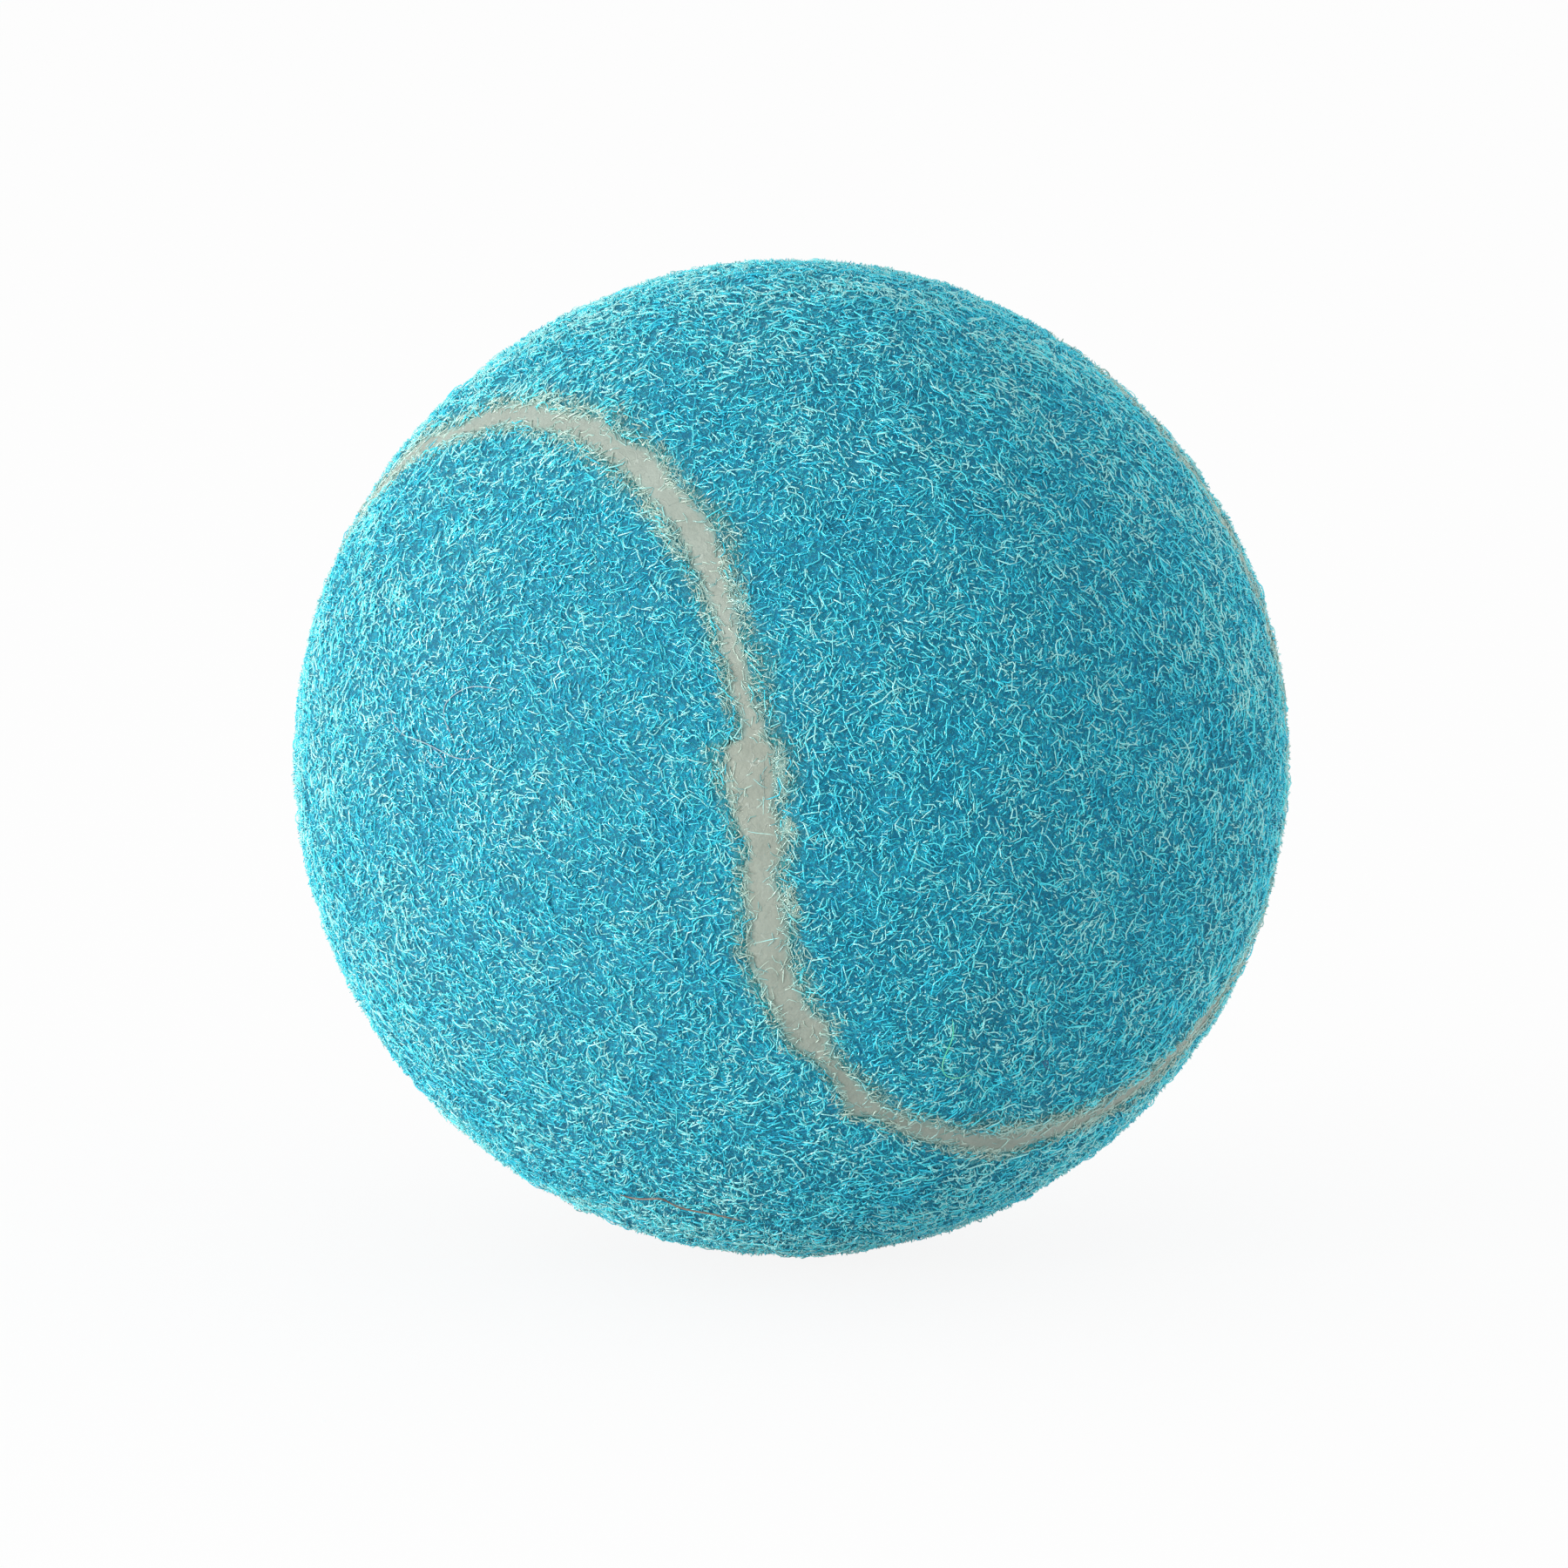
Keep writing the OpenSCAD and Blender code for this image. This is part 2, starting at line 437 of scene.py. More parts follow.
def strand_finish(colours):
    """The nap's strands. Each carries its own shade, and those that the rubber wetted are dull."""
    tree = finish("nap strands")
    shade = tree.carried("shade")
    wetted = tree.carried("wetted")
    felt = (colours.felt_deep, colours.felt_mid, colours.felt_light, colours.felt_pale)
    stops = [(at, opaque(dye)) for at, dye in zip((0.0, 0.4, 0.75, 1.0), felt, strict=True)]
    base = tree.add("ShaderNodeValToRGB", {"stops": stops}, {"Fac": shade})
    # The wetted strands follow the same painted shade, so the lower ones are darker too
    rubbery = tree.blend(tree.ramp(shade, 0.1, 0.8), colours.soaked, colours.wetted)
    return tree.close(
        Base_Color=tree.blend(wetted, base, rubbery),
        Roughness=0.25,
        Specular_IOR_Level=0.6,
        Sheen_Weight=0.04,
        Sheen_Roughness=0.35,
    )


def seam_finish(colours):
    """Cured rubber solution: beige and smooth, with fibres stuck in it, faint clouds and scuffs."""
    tree = finish("seam rubber")
    warm = tree.carried("warm")
    rim = tree.carried("rim")
    clouds = tree.ramp(tree.speckle(330, 4, 0.6), 0.35, 0.68)
    here = tree.ramp(tree.speckle(500), 0.42, 0.58)
    sunk = tree.tangle(1100, 3.0, 0.02) * here
    laid = tree.tangle(800, 7.0, 0.014) * (1 - here)
    weave = tree.speckle(3600, 2, 0.6)
    specks = tree.ramp(tree.speckle(2100, 2, 0.6), 0.26, 0.34, (1.0, 0.0))
    # Painted light and shade along the seam, besides its warmer tone
    base = tree.blend(0.8 * warm + 0.35 * (clouds - 0.5), colours.rubber, colours.rubber_warm_shade)
    base = tree.blend(0.34 * clouds * weave, base, colours.rubber_mark)
    # Painted shade and painted reflected light from the felt: the rubber is darker and greener at
    # its edges beside the felt, along with felt fibres wetted into it
    base = tree.blend(rim * 0.6, base, colours.rubber_rim_shade)
    base = tree.blend(sunk * 0.3, base, colours.rubber_mark)
    base = tree.blend(laid * 0.5, base, colours.rubber_pale)
    base = tree.blend(specks * 0.6, base, colours.rubber_mark)
    return tree.close(
        Base_Color=base,
        Roughness=0.48 + 0.25 * clouds,
        Normal=tree.bump(tree.speckle(1300, 3, 0.6) + 0.3 * laid + 0.4 * weave, 0.16 * MM, 0.7),
        Specular_IOR_Level=0.2,
    )


def core_finish(colours):
    """Moulded black rubber with the talc left in its pores."""
    tree = finish("core rubber")
    dust = tree.ramp(tree.speckle(500, 4, 0.65), 0.42, 0.75)
    base = tree.blend(dust * 0.35, colours.core, colours.core_dust)
    return tree.close(
        Base_Color=base,
        Roughness=0.62 + 0.25 * dust,
        Normal=tree.bump(tree.speckle(1800, 3, 0.6), 0.05 * MM, 0.5),
        Specular_IOR_Level=0.35,
    )


def cement_finish(colours):
    """Brushed rubber cement, thicker and darker in its streaks."""
    tree = finish("rubber cement")
    streaks = tree.ramp(tree.speckle(260, 4, 0.6, 1.5), 0.35, 0.7)
    base = tree.blend(streaks, colours.cement, colours.cement_thick)
    return tree.close(
        Base_Color=base,
        Roughness=0.55 - 0.25 * streaks,
        Normal=tree.bump(streaks, 0.06 * MM, 0.6),
        Specular_IOR_Level=0.4,
    )


def back_finish(colours):
    """Rubber coat on the back of the cloth, with the weave showing through."""
    tree = finish("back coat")
    cells = {"Vector": tree.place(), "Scale": 1700.0}
    weave = tree.add("ShaderNodeTexVoronoi", {"feature": "DISTANCE_TO_EDGE"}, cells, "Distance")
    threads = tree.ramp(weave, 0.0, 0.3)
    clouds = tree.speckle(240, 3, 0.6)
    base = tree.blend(threads * clouds, colours.back_coat, colours.back_thread)
    return tree.close(
        Base_Color=base,
        Roughness=0.85 - 0.2 * threads,
        Normal=tree.bump(threads, 0.05 * MM, 0.6),
        Specular_IOR_Level=0.3,
    )


def fibre_finish(name, colour, tip):
    """One foreign fibre caught in the nap, uneven in colour along its length."""
    tree = finish(name)
    uneven = tree.ramp(tree.speckle(900, 2, 0.5), 0.35, 0.65)
    base = tree.blend(uneven, colour, tip)
    return tree.close(Base_Color=base, Roughness=0.55, Specular_IOR_Level=0.25)


# ------------ making pieces


def carry(mesh, **values):
    """Gives each vertex its own values for the finishes to read."""
    for name, value in values.items():
        mesh.attributes.new(name, "FLOAT", "POINT").data.foreach_set("value", value)


def mesh_of(bm, name, **values):
    """Ends a bmesh as a mesh whose vertices carry those values."""
    mesh = bpy.data.meshes.new(name)
    bm.to_mesh(mesh)
    bm.free()
    carry(mesh, **values)
    return mesh


def put(name, data):
    """Puts a mesh, a lamp or a camera in the scene."""
    made = bpy.data.objects.new(name, data)
    bpy.context.scene.collection.objects.link(made)
    return made


def new_piece(mesh, material):
    """Puts a mesh in the scene as a piece of the same name that rides on the ball."""
    mesh.shade_smooth()
    mesh.materials.append(material)
    piece = put(mesh.name, mesh)
    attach(piece, "root")
    return piece


def finish_nodes(material, *names):
    """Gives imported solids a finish."""
    for name in names:
        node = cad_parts[name]
        node.data.materials.clear()
        node.data.materials.append(material)


def places(bm):
    return np.array([v.co for v in bm.verts]).reshape(-1, 3)


def move(bm, to):
    """Moves each vertex to its new place."""
    for v, place in zip(bm.verts, to, strict=True):
        v.co = place


def drop(bm, gone):
    """Deletes the vertices that are marked as gone."""
    marked = [v for v, out in zip(bm.verts, gone, strict=True) if out]
    bmesh.ops.delete(bm, geom=marked, context="VERTS")


def refine(bm, panel, cover, reach):
    """Halves the mesh's edges within reach of the panel's cut edge, back on the ball's round."""
    edge = np.abs(inside(places(bm), panel, cover)) < reach
    bm.verts.index_update()
    near = [e for e in bm.edges if edge[e.verts[0].index] and edge[e.verts[1].index]]
    bmesh.ops.subdivide_edges(bm, edges=near, cuts=1, use_grid_fill=True)
    bmesh.ops.triangulate(bm, faces=[f for f in bm.faces if len(f.verts) > 3])
    for v in bm.verts:
        v.co.normalize()
        v.co *= BALL_R


def cloth_mesh(name, panel, cover):
    """The matted body of one panel: a closed shell from its back to its lumpy top."""
    rough_cut, wide, narrow, snap = 4.5 * MM, 1.3 * MM, 0.5 * MM, 0.09 * MM
    bm = bmesh.new()
    bmesh.ops.create_icosphere(bm, subdivisions=7, radius=BALL_R)
    drop(bm, panel * to_seam(places(bm))[1] < -rough_cut)
    refine(bm, panel, cover, wide)
    refine(bm, panel, cover, narrow)
    # The line of the cut: what lies near it moves onto it, and what lies beyond it goes
    at = places(bm)
    edge = inside(at, panel, cover)
    near = np.abs(edge) < snap
    at[near] -= edge[near][:, None] * (panel * slope(at[near]))
    move(bm, at)
    drop(bm, edge < -snap)
    drop(bm, [not v.link_faces for v in bm.verts])
    back = set(bmesh.ops.extrude_face_region(bm, geom=bm.faces[:])["geom"])
    top = np.array([v not in back for v in bm.verts])
    at = places(bm)
    way = unit(at)
    radius = np.full(len(at), FELT_R)
    radius[top] = ground(at[top], np.maximum(inside(at[top], panel, cover), 0), cover)
    move(bm, way * radius[:, None])
    bmesh.ops.recalc_face_normals(bm, faces=bm.faces)
    cut = beside_seam(way * BALL_R, inside(way * BALL_R, panel, cover))
    return mesh_of(bm, name, cut=cut)


def slope(points):
    """Unit directions on the ball in which the distance across the seam grows fastest."""
    step = 0.02 * MM
    out = unit(points)
    side = unit(np.cross(out, (0.0, 0.3, 1.0)))
    other = np.cross(out, side)
    here = to_seam(points)[1]
    grow = (to_seam(points + step * side)[1] - here)[:, None] * side
    grow += (to_seam(points + step * other)[1] - here)[:, None] * other
    return grow / np.maximum(np.linalg.norm(grow, axis=1, keepdims=True), 1e-12)


def strand_shape(rings):
    """One pointed, three-sided strand along Z, 1 long: its corners, triangles and flat map."""
    bm = bmesh.new()
    body = 0.62 if rings > 1 else 0.5
    thick = {"radius1": 1, "radius2": min(rings - 1, 1), "depth": body}
    bmesh.ops.create_cone(bm, cap_ends=True, segments=3, **thick)
    if rings == 1:
        bmesh.ops.translate(bm, vec=(0, 0, body / 2), verts=bm.verts)
    long_edges = [e for e in bm.edges if abs(e.verts[0].co.z - e.verts[1].co.z) > body / 2]
    if rings > 2:
        bmesh.ops.subdivide_edges(bm, edges=long_edges, cuts=rings - 2, use_grid_fill=True)
    caps = [f for f in bm.faces if abs(f.normal.z) > 0.9]
    for v in bmesh.ops.poke(bm, faces=caps)["verts"]:
        v.co.z = 0.5 if v.co.z > 0 else -0.5
    bmesh.ops.triangulate(bm, faces=bm.faces[:])
    bm.verts.index_update()
    at = places(bm)
    faces = np.array([[v.index for v in f.verts] for f in bm.faces])
    flat = []
    third = 2 * math.pi / 3
    for f in bm.faces:
        middle = f.calc_center_median()
        aim = math.atan2(middle.y, middle.x)
        for v in f.verts:
            turn = math.remainder(math.atan2(v.co.y, v.co.x) - aim, 2 * math.pi)
            turn = 0.0 if abs(v.co.z) == 0.5 else turn
            column = round((aim - third / 2) / third) % 3
            share = min(max(turn / third + 0.5, 0.0), 1.0)
            flat.append(((column + 0.1 + 0.8 * share) / 3, 0.05 + 0.9 * (v.co.z + 0.5)))
    bm.free()
    return at, faces, np.array(flat)


def grain(way):
    """The direction in which the nap mostly lies at each point: smooth over a few millimetres."""
    flow = np.stack([wobble(way * BALL_R, 5 * MM, 11 + k) for k in range(3)], 1) + 1e-4
    flow -= (flow * way).sum(1, keepdims=True) * way
    return unit(flow)


class Strand(NamedTuple):
    """One kind of strand: how many on a panel, its rings of corners, its usual length, how far it
    curls and lifts out of the mat, what share is paler, and how readily the rubber wets it"""

    kind: str
    count: int
    rings: int
    length: float
    curl: float
    lift: float
    pale: float
    wet: float


def sow(random, count, panel, cover):
    """Random directions over one panel, clear of its cut edge, and how far inside it they lie."""
    found, edges, farthest_cut = [], [], 3 * MM
    while sum(len(f) for f in found) < count:
        way = unit(random.normal(size=(count, 3)))
        way = way[panel * to_seam(way)[1] > -farthest_cut]
        edge = inside(way * BALL_R, panel, cover)
        found.append(way[edge > INSET])
        edges.append(edge[edge > INSET])
    return np.concatenate(found)[:count], np.concatenate(edges)[:count]


def sow_fringe(random, count, panel, cover):
    """Random directions along the panel's cut edge, and how far inside it they lie. The first of
    them are in the clumps of soaked strands."""
    along = random.uniform(-ROUND_TRIP / 2, ROUND_TRIP / 2, count)
    cut = bare_edges(along, cover)[panel > 0]
    across = cut + panel * random.uniform(-0.3, 0.9, count) * MM
    way = unit(from_seam(along, across))
    edge = inside(way * BALL_R, panel, cover)
    rows = [row for row in CLUMPS if row[1] * panel > 0]
    along = np.concatenate([random.normal(a, long / 2, n) for a, _, long, _, n in rows]) * MM
    across = np.concatenate([random.normal(c, wide / 2, n) for _, c, _, wide, n in rows]) * MM
    way[: len(along)], edge[: len(along)] = unit(from_seam(along, across)), 0
    return way, edge


def sow_stuck(random, count, panel, cover):
    """Random directions over one side of the bare seam, for strands stuck in the rubber."""
    along = random.uniform(-ROUND_TRIP / 2, ROUND_TRIP / 2, count)
    low, high = bare_edges(along, cover)
    across = (low + high) / 2 + panel * ((high - low) / 2) * random.random(count) ** 0.6
    return unit(from_seam(along, across)), np.zeros(count)


def soak(random, at, edge, wet):
    """How far the rubber wetted each strand: in patches beside the seam, or all over on it."""
    patches = np.clip(0.75 + 1.3 * wobble(at, 1.6 * MM, 23), 0, 1)
    share = np.maximum(1.5 * beside_seam(at, edge) * patches, wet - 1)
    least = 0.75 if wet > 1 else 0.45
    return np.where(random.random(len(at)) < wet * share, random.uniform(least, 1.0, len(at)), 0)


def headings(random, way, edge, wetted):
    """Which way each strand runs: roughly with the nap's grain, or along a cut edge close by."""
    flow = grain(way)
    combed = 0.9 * MM
    close_by = np.clip(1 - edge / combed, 0, 1)[:, None]
    down_seam = np.cross(way, slope(way))
    down_seam *= np.where((down_seam * flow).sum(1, keepdims=True) < 0, -1, 1)
    flow = unit(flow * (1 - close_by) + down_seam * close_by)
    turn = random.normal(0, 0.8, len(way))[:, None] * (1 + (wetted[:, None] - 0.6) * close_by)
    return np.cos(turn) * flow + np.sin(turn) * np.cross(way, flow)


def strands(random, way, edge, panel, cover, corners, strand):
    """Lays one strand at each direction: its vertices and the shade and wetting of each vertex."""
    heights = corners[:, 2].round(6)
    levels = np.unique(heights)
    level_of = np.searchsorted(levels, heights)
    n, t = len(way), levels[None]
    at = way * BALL_R
    wetted = soak(random, at, edge, strand.wet)
    ahead = headings(random, way, edge, wetted)
    # Its run, curling over the ball's round
    long = (strand.length * np.exp(random.normal(0, 0.3, n)))[:, None]
    curl = (strand.curl * random.uniform(0.35, 1.5, n) * random.choice((-1, 1), n))[:, None]
    x = np.sin(curl * t) / curl * long
    y = (1 - np.cos(curl * t)) / curl * long
    y += 0.05 * long * np.sin(9 * t + random.uniform(0, 6.3, n)[:, None])
    side = np.cross(way, ahead)
    path = unit(at[:, None] + x[..., None] * ahead[:, None] + y[..., None] * side[:, None])
    # Its height: from the matted felt or the ribbon up in an arch, or with one end free
    spots = (path * BALL_R).reshape(-1, 3)
    reach = inside(spots, panel, cover)
    base = ground(spots, np.maximum(reach, 0), cover)
    rim = reach < 0.12 * MM
    base[rim] = np.maximum(base[rim], ribbon_top(spots[rim]) + OVER_RIBBON)
    depth = random.uniform(0.15, 1.0, n) ** 1.3
    free = (random.random(n) < 0.2)[:, None]
    arch = np.where(free, np.clip(t + 0.5, 0, 1) ** 0.7, np.cos(np.pi * t) ** 0.8)
    lift = (depth * strand.lift)[:, None]
    path *= (base.reshape(n, -1) - ROOT + (ROOT + lift) * arch)[..., None]
    # Its round body about that run
    tangent = unit(np.gradient(path, axis=1))
    across = unit(np.cross(np.broadcast_to(way[:, None], path.shape), tangent))
    over = np.cross(tangent, across)
    thick = cover.strand_width / 2 * random.uniform(0.7, 1.25, n)
    points = path[:, level_of] + thick[:, None, None] * (
        corners[None, :, :1] * across[:, level_of] + corners[None, :, 1:2] * over[:, level_of]
    )
    patch = wobble(at, 4.5 * MM, 21) + 0.25 * wobble(at, 1.8 * MM, 22)
    # Painted shade: a strand that rises less out of the mat is darker
    shade = 0.45 + 0.34 * patch + 0.28 * (depth - 0.5) + random.normal(0, 0.19, n)
    # Partly painted highlight: the paler share stands for glints on the fibres as well as for paler
    # fibres
    shade += 0.4 * (random.random(n) < strand.pale)
    # Painted light: the raised middle of a higher strand is lighter
    tip = 0.1 * depth[:, None] * (np.abs(corners[:, 2]) < 0.3)
    shade = np.clip(shade[:, None] + tip, 0, 1)
    return points.reshape(-1, 3), shade.ravel(), np.repeat(wetted, len(corners))


def nap_pieces(letter, panel, cover, random, material, strand):
    """Lays the strands of one kind on one panel, in pieces of at most MOST_FACES triangles."""
    corners, faces, flat = strand_shape(strand.rings)
    parts = math.ceil(strand.count * len(faces) / MOST_FACES)
    each = math.ceil(strand.count / parts)
    sower = {"fringe": sow_fringe, "stuck": sow_stuck}.get(strand.kind, sow)
    made = []
    for part in range(parts):
        way, edge = sower(random, each, panel, cover)
        points, shade, wetted = strands(random, way, edge, panel, cover, corners, strand)
        mesh = bpy.data.meshes.new(f"nap_{letter}_{strand.kind}_{part + 1}")
        shifted = faces[None] + np.arange(each)[:, None, None] * len(corners)
        mesh.from_pydata(points, [], shifted.reshape(-1, 3))
        carry(mesh, shade=shade, wetted=wetted)
        # The flat map: one small square for each strand
        rows = math.ceil(math.sqrt(each))
        cell = np.stack(np.divmod(np.arange(each), rows), 1)[:, None]
        uv = (cell + flat[None]).reshape(-1, 2) / rows
        mesh.uv_layers.new(name=BAKE_MAP).uv.foreach_set("vector", uv.astype(np.float32).ravel())
        made.append(new_piece(mesh, material))
    return made


def ribbon_mesh(cover):
    """The ribbon of cured rubber: its section is spun along one arc of the seam, laid four times,
    and fitted to the bare seam, with its sides tucked under the nap."""
    # The section, from its foot on one side over the top to the other: across and up, as shares
    across = np.concatenate(([-1.0, -1.0, -1.0], np.linspace(-0.98, 0.98, 19), [1.0, 1.0, 1.0]))
    height = np.concatenate(([0.0, 0.4, 0.8], np.ones(19), [0.8, 0.4, 0.0]))
    rise = SEAM_R - COAT_R
    axis, one = (Vector(row) for row in arc_frames()[0, :2])
    start = Matrix.Rotation(-HALF_SWEEP, 3, axis)
    bm = bmesh.new()
    section = []
    for a, h in zip(across, height, strict=True):
        angle = ARC_ANGLE - a * RIBBON_HALF / SEAM_R
        way = math.cos(angle) * axis + math.sin(angle) * one
        section.append(bm.verts.new(start @ way * (COAT_R + rise * h)))
    section += [bm.edges.new(pair) for pair in zip(section, section[1:] + section[:1], strict=True)]
    sweep = {"cent": (0, 0, 0), "axis": axis, "angle": 2 * HALF_SWEEP, "steps": 240}
    bmesh.ops.spin(bm, geom=section, use_merge=False, **sweep)
    # The other three arcs are the first one turned half round, twice
    for pole in ((0, 0, 1), (1, 1, 0)):
        copied = bmesh.ops.duplicate(bm, geom=bm.verts[:] + bm.edges[:] + bm.faces[:])["geom"]
        turned = [g for g in copied if isinstance(g, bmesh.types.BMVert)]
        half_turn = Matrix.Rotation(math.pi, 3, Vector(pole))
        bmesh.ops.rotate(bm, cent=(0, 0, 0), matrix=half_turn, verts=turned)
    bmesh.ops.remove_doubles(bm, verts=bm.verts, dist=WELD)
    bmesh.ops.transform(bm, matrix=LIE.to_4x4(), verts=bm.verts)
    at = places(bm)
    along, over = to_seam(at)
    up = np.clip((np.linalg.norm(at, axis=1) - COAT_R) / rise, 0, 1)
    low, high = bare_edges(along, cover)
    share = over / RIBBON_HALF
    wide = (high - low) / 2 + TUCK
    way = unit(from_seam(along, (low + high) / 2 + share * wide))
    from_side = (1 - np.abs(share)) * wide
    tucked = np.clip(1 - from_side / TUCK, 0, 1)
    top = ribbon_top(way) - TUCK_DROP * tucked**2
    move(bm, way * (COAT_R + (top - COAT_R) * up)[:, None])
    bmesh.ops.triangulate(bm, faces=bm.faces[:])
    bmesh.ops.recalc_face_normals(bm, faces=bm.faces)
    # At its edges beside the felt the rubber is painted darker and greener, as shade and light
    # reflected from the felt
    rim_width = 0.35 * MM
    rim = np.clip(1 - (from_side - TUCK) / rim_width, 0, 1)
    # Partly painted light and shade along the seam
    warm = np.interp(along, *(np.array(WARMTH_AND_SHADE) * (MM, 1)).T)
    return mesh_of(bm, "seam_ribbon", rim=rim, warm=warm)


def photographed(across, up, radius, studio):
    """The point on a ball of that radius that shows so far across and up of the ball's middle."""
    sight = Matrix.Rotation(-studio.elevation, 3, "X")
    eye = sight @ Vector((0, -studio.distance, 0))
    ray = (sight @ Vector((across, 0, up)) - eye).normalized()
    middle = -eye.dot(ray)
    return eye + ray * (middle - math.sqrt(middle**2 + radius**2 - eye.length_squared))


def stray_mesh(name, width, depth, run, studio):
    """A round fibre along a smooth run, thin at its ends, dipping into the nap here and there."""
    curve = bpy.data.curves.new(name, "CURVE")
    curve.dimensions, curve.use_fill_caps = "3D", True
    curve.bevel_depth, curve.bevel_resolution, curve.resolution_u = width / 2 * MM, 1, 8
    spline = curve.splines.new("NURBS")
    spline.points.add(len(run) - 1)
    spline.order_u, spline.use_endpoint_u = 4, True
    for k, (point, (across, up)) in enumerate(zip(spline.points, run, strict=True)):
        if depth is None:
            on_seam = photographed(across * MM, up * MM, SEAM_R, studio)
            radius = ribbon_top(np.array([on_seam]))[0] + width / 4 * MM
        else:
            radius = BALL_R - (depth + 0.06 * math.sin(2.3 * k)) * MM
        point.co = (*photographed(across * MM, up * MM, radius, studio), 1)
        point.radius = 0.45 if k in (0, len(run) - 1) else 1.0
    holder = bpy.data.objects.new(name, curve)
    mesh = bpy.data.meshes.new_from_object(holder)
    bpy.data.objects.remove(holder)
    bpy.data.curves.remove(curve)
    bm = bmesh.new()
    bm.from_mesh(mesh)
    bmesh.ops.remove_doubles(bm, verts=bm.verts, dist=WELD / 10)
    bmesh.ops.triangulate(bm, faces=bm.faces[:])
    bmesh.ops.recalc_face_normals(bm, faces=bm.faces)
    bm.to_mesh(mesh)
    bm.free()
    mesh.name = name
    return mesh


# ------------ what a user may change


def number(name, default, description, **kind):
    """A number of some kind with its usual value."""
    return FloatProperty(name=name, description=description, default=default, **kind)


def length(name, default, description):
    """A length with its usual value in millimetres."""
    return number(name, default * MM, description, unit="LENGTH")


def count(name, default, description):
    """How many strands lie on each panel."""
    return IntProperty(name=name, description=description, default=default)


class CoverSizes(bpy.types.PropertyGroup):
    """Sizes of the felt cover"""

    nap_height: length("Nap height", 0.4, "How far the tips of the nap stand above the matted felt")
    lump_height: length("Lump height", 0.16, "How far the matted felt swells and sinks")
    lump_size: length("Lump size", 2.6, "Width of the felt's lumps")
    shoulder: length("Shoulder", 0.75, "Width over which the felt rolls down to the seam")
    overhang: length("Overhang", 0.08, "How far the nap lies over the bare seam on either side")
    seam_half: length("Half seam", 0.8, "Half the bare seam where the photograph doesn't show it")
    strand_width: length("Strand width", 0.093, "Thickness of a strand of the nap")
    dash_length: length("Dashes", 0.46, "The shortest strands, which hardly stand out of the mat")
    curl_length: length("Curls", 0.88, "The curling strands that make up most of the nap")
    long_length: length("Long strands", 1.7, "The long, curly strands")
    dash_count: count("Dash count", 31_000, "Shortest strands on each panel")
    curl_count: count("Curl count", 36_500, "Curling strands on each panel")
    long_count: count("Long strand count", 4_600, "Long strands on each panel")
    stuck_count: count("Stuck strand count", 800, "Strands stuck in the rubber beside each panel")
    fringe_count: count("Fringe count", 4_000, "Strands that the rubber wetted on each cut edge")


def colour(name, default, description):
    """A colour with its usual value."""
    return FloatVectorProperty(
        name=name, description=description, default=default, subtype="COLOR", size=3, min=0, max=1
    )


class CoverColours(bpy.types.PropertyGroup):
    """Colours of the ball"""

    # Painted shade: the dark colour between the mat's fibres
    felt_gap_shade: colour("Felt, gaps", (0.01, 0.17, 0.29), "The dark gaps of the mat")
    # The wetted felt's gaps beside the seam, dark as painted shade as well
    felt_cut: colour("Felt, cut edge", (0.03, 0.26, 0.28), "The gaps of the felt beside the seam")
    # The darkest strands, which the lower ones reach as painted shade
    felt_deep: colour("Felt, deep", (0.016, 0.43, 0.64), "The felt's deepest strands")
    felt_mid: colour("Felt, middle", (0.025, 0.75, 0.97), "Most of the felt")
    felt_light: colour("Felt, light", (0.12, 0.92, 1.0), "The lighter strands")
    # Partly painted highlight: the palest strands also stand for glints
    felt_pale: colour("Felt, pale", (0.47, 1.0, 1.0), "The few palest strands")
    wetted: colour("Wetted strand, pale", (0.57, 0.70, 0.61), "Strands that the rubber wetted")
    soaked: colour("Wetted strand, deep", (0.20, 0.40, 0.36), "The deeper of those strands")
    rubber: colour("Seam rubber", (0.37, 0.43, 0.39), "The seam's own colour")
    # Partly painted shade: the darker, warmer rubber
    rubber_warm_shade: colour("Seam rubber, warm", (0.30, 0.33, 0.282), "Where it is warmer")
    # Partly painted shade and reflected light: the darker, greener rubber at its edges
    rubber_rim_shade: colour("Seam rubber, rim", (0.20, 0.37, 0.35), "Where it wetted the felt")
    rubber_mark: colour("Seam mark", (0.17, 0.24, 0.22), "Specks and scuffs on the seam")
    rubber_pale: colour("Seam mark, pale", (0.52, 0.60, 0.55), "Strands that show through its skin")
    hair: colour("Hair", (0.20, 0.13, 0.10), "The brown hair")
    hair_tip: colour("Hair, tips", (0.36, 0.27, 0.22), "Where it is paler")
    pink: colour("Pink fibres", (0.30, 0.37, 0.44), "The fine pinkish fibres")
    pink_tip: colour("Pink fibres, tips", (0.36, 0.50, 0.58), "Where they are paler")
    green: colour("Green fibre", (0.10, 0.62, 0.38), "The fine green fibre")
    green_tip: colour("Green fibre, tips", (0.25, 0.78, 0.55), "Where it is paler")
    navy: colour("Dark fibre", (0.02, 0.07, 0.18), "The knotted dark fibre")
    navy_tip: colour("Dark fibre, tips", (0.04, 0.16, 0.28), "Where it is paler")
    core: colour("Core rubber", (0.035, 0.034, 0.033), "The moulded core")
    core_dust: colour("Core dust", (0.24, 0.235, 0.22), "Talc in the core's pores")
    cement: colour("Cement", (0.60, 0.46, 0.27), "Thin rubber cement")
    cement_thick: colour("Cement, thick", (0.42, 0.29, 0.14), "Where it lies thicker")
    back_coat: colour("Back coat", (0.62, 0.58, 0.49), "Rubber on the cloth's back")
    back_thread: colour("Back thread", (0.74, 0.71, 0.63), "The weave behind it")


def power(name, default, description):
    """A lamp's power, in watts."""
    return number(name, default, description, unit="POWER")


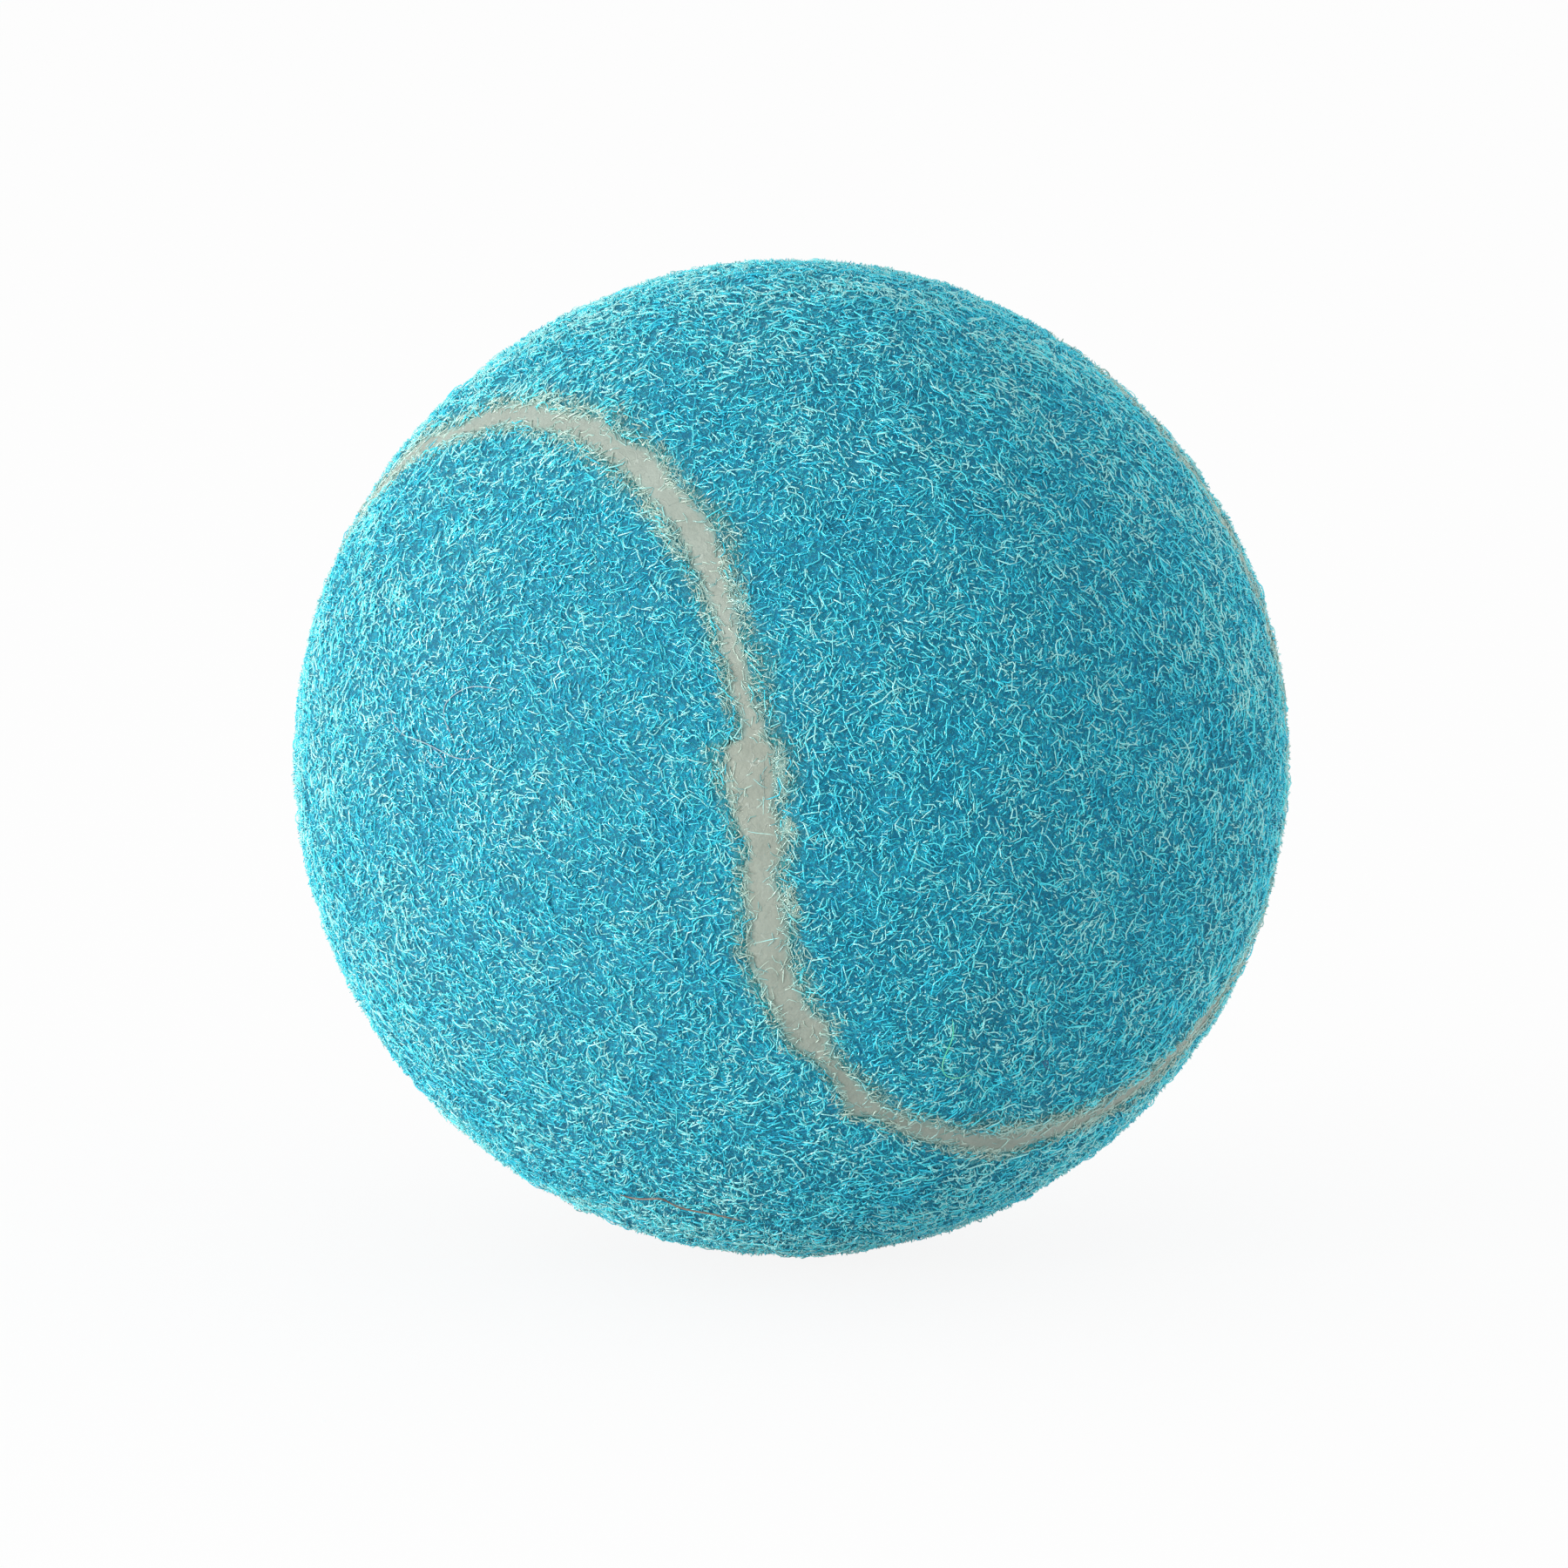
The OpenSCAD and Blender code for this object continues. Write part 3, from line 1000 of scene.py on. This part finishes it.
class StudioSettings(bpy.types.PropertyGroup):
    """Camera and light"""

    distance: length("Distance", 1200, "From the camera to the ball's centre")
    elevation: number("Elevation", math.radians(10), "The camera's tilt down", subtype="ANGLE")
    sky: number("Surround", 0.88, "Strength of the even white light all round")
    key: power("Key lamp", 9.5, "The large soft lamp in front on the left")
    fill: power("Fill lamp", 1.1, "The weak lamp in front on the right")
    glints: power("Glint lamp", 36.0, "The lamp that only gives the strands their glints")


# ------------ operators


class BALL_OT_core(bpy.types.Operator):
    """Finishes the core's two halves and the cement on and between them"""

    bl_idname = "ball.core"
    bl_label = "Finish the core"

    def execute(self, context):
        colours = context.scene.ball_colours
        finish_nodes(core_finish(colours), "core_half_a", "core_half_b")
        finish_nodes(cement_finish(colours), "core_joint_cement", "core_cement_coat")
        finish_nodes(back_finish(colours), "panel_back_coat_a", "panel_back_coat_b")
        return {"FINISHED"}


class BALL_OT_seam(bpy.types.Operator):
    """Makes the ribbon of cured rubber between the panels"""

    bl_idname = "ball.seam"
    bl_label = "Make the seam rubber"

    def execute(self, context):
        material = seam_finish(context.scene.ball_colours)
        ribbon = new_piece(ribbon_mesh(context.scene.ball_cover), material)
        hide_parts("seam_rubber")
        return {"FINISHED"}


class BALL_OT_cover(bpy.types.Operator):
    """Makes the two felt panels with their nap"""

    bl_idname = "ball.cover"
    bl_label = "Make the felt cover"

    def execute(self, context):
        cover, colours = context.scene.ball_cover, context.scene.ball_colours
        matted, strand = felt_finish(colours), strand_finish(colours)
        kinds = (
            Strand("dash", cover.dash_count, 1, cover.dash_length, 0.9, 0.34 * MM, 0.7, 0.9),
            Strand("curl", cover.curl_count, 2, cover.curl_length, 2.0, 0.34 * MM, 0.5, 1.0),
            Strand("long", cover.long_count, 4, cover.long_length, 2.4, 0.36 * MM, 0.4, 0.7),
            Strand("fringe", cover.fringe_count, 2, cover.curl_length, 2.2, 0.15 * MM, 0.35, 1.8),
            Strand("stuck", cover.stuck_count, 3, cover.curl_length, 1.4, 0.02 * MM, 0.45, 2.0),
        )
        random = np.random.default_rng(SEED)
        for letter, panel in (("a", 1), ("b", -1)):
            cloth = new_piece(cloth_mesh(f"cloth_{letter}", panel, cover), matted)
            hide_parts(f"felt_panel_{letter}")
            nap = []
            for kind in kinds:
                nap += nap_pieces(letter, panel, cover, random, strand, kind)
        return {"FINISHED"}


class BALL_OT_strays(bpy.types.Operator):
    """Lays the few foreign fibres that are caught in the nap"""

    bl_idname = "ball.strays"
    bl_label = "Lay the stray fibres"

    def execute(self, context):
        colours, studio = context.scene.ball_colours, context.scene.ball_studio
        kinds = {
            "brown": fibre_finish("brown hair", colours.hair, colours.hair_tip),
            "pink": fibre_finish("pink fibre", colours.pink, colours.pink_tip),
            "green": fibre_finish("green fibre", colours.green, colours.green_tip),
            "navy": fibre_finish("dark fibre", colours.navy, colours.navy_tip),
            "mark": fibre_finish("seam scratch", colours.rubber_mark, colours.rubber),
            "pale": fibre_finish("pale strand on the seam", colours.wetted, colours.felt_pale),
        }
        for name, kind, width, depth, run in STRAYS:
            mesh = stray_mesh(f"stray_{name}", width, depth, run, studio)
            new_piece(mesh, kinds[kind])
        return {"FINISHED"}


class BALL_OT_studio(bpy.types.Operator):
    """Sets the floor, the soft light and the camera"""

    bl_idname = "ball.studio"
    bl_label = "Set the studio"

    def execute(self, context):
        studio = context.scene.ball_studio
        scene = context.scene
        scene.view_settings.view_transform = "Standard"
        floor_half, glow_share = 4, 0.9
        bm = bmesh.new()
        bmesh.ops.create_grid(bm, x_segments=4, y_segments=4, size=floor_half)
        bmesh.ops.translate(bm, vec=(0, 0, -BALL_R), verts=bm.verts)
        floor = put("floor", mesh_of(bm, "floor"))
        tree = finish("white floor")
        seen = 1 - unseen_by_eye(tree)
        paint = tree.add("ShaderNodeBsdfDiffuse", inputs={"Color": (0.9, 0.9, 0.9, 1)})
        glow = tree.add("ShaderNodeEmission", inputs={"Color": (1, 1, 1, 1), "Strength": 1.0})
        mixed = tree.add("ShaderNodeMixShader", inputs={0: seen * glow_share, 1: paint, 2: glow})
        tree.add("ShaderNodeOutputMaterial", inputs={"Surface": mixed})
        floor.data.materials.append(tree.owner)

        tree = Finish(bpy.data.worlds.new("surround"))
        level = 1 - unseen_by_eye(tree) * (1 - studio.sky)
        back = tree.add("ShaderNodeBackground", inputs={"Color": (1, 1, 1, 1), "Strength": level})
        tree.add("ShaderNodeOutputWorld", inputs={"Surface": back})
        scene.world = tree.owner

        for name, place, size, watts, lights_all in (
            ("key", (-0.94, -0.58, 0.08), 0.4, studio.key, True),
            ("fill", (0.95, -0.62, 0.0), 0.5, studio.fill, True),
            ("glints", (-1.0, -0.46, 0.1), 0.4, studio.glints, False),
        ):
            lamp = bpy.data.lights.new(name, "AREA")
            lamp.shape, lamp.size, lamp.energy = "DISK", size, watts
            lamp.color = (1.0, 1.0, 0.94)
            holder = put(name, lamp)
            holder.location = place
            holder.visible_diffuse = lights_all
            holder.rotation_euler = (-Vector(place)).to_track_quat("-Z", "Y").to_euler()

        lens = bpy.data.cameras.new("camera")
        lens.sensor_fit, lens.sensor_width = "HORIZONTAL", 36.0
        silhouette = math.tan(math.asin((BALL_R - OUTLINE_DEPTH) / studio.distance))
        lens.lens = PHOTO_BALL / PHOTO_SIDE * lens.sensor_width / silhouette
        lens.shift_x, lens.shift_y = -PHOTO_RIGHT / PHOTO_SIDE, -PHOTO_UP / PHOTO_SIDE
        lens.clip_start, lens.clip_end = 0.01, 50.0
        camera = put("camera", lens)
        sight = Vector((0, -math.cos(studio.elevation), math.sin(studio.elevation)))
        camera.location = sight * studio.distance
        camera.rotation_euler = (-camera.location).to_track_quat("-Z", "Y").to_euler()
        scene.camera = camera
        return {"FINISHED"}


class BALL_PT_parts(bpy.types.Panel):
    """Shows the settings of the cover, its colours and the studio, and a button for each step"""

    bl_idname = "BALL_PT_parts"
    bl_label = "Tennis ball"
    bl_space_type = "VIEW_3D"
    bl_region_type = "UI"
    bl_category = "Tennis ball"

    def draw(self, context):
        for group in GROUPS:
            settings = getattr(context.scene, group)
            box = self.layout.box()
            for name in settings.__annotations__:
                box.prop(settings, name)
        for step in STEPS:
            self.layout.operator(step.bl_idname)


GROUPS = {"ball_cover": CoverSizes, "ball_colours": CoverColours, "ball_studio": StudioSettings}
STEPS = (BALL_OT_core, BALL_OT_seam, BALL_OT_cover, BALL_OT_strays, BALL_OT_studio)
CLASSES = (*GROUPS.values(), *STEPS, BALL_PT_parts)


def register():
    for made in CLASSES:
        bpy.utils.register_class(made)
    for name, group in GROUPS.items():
        setattr(bpy.types.Scene, name, PointerProperty(type=group))


def unregister():
    for name in GROUPS:
        delattr(bpy.types.Scene, name)
    for made in reversed(CLASSES):
        bpy.utils.unregister_class(made)


def main():
    register()
    bpy.ops.ball.core()
    bpy.ops.ball.seam()
    bpy.ops.ball.cover()
    bpy.ops.ball.strays()
    bpy.ops.ball.studio()


if __name__ == "__main__":
    main()
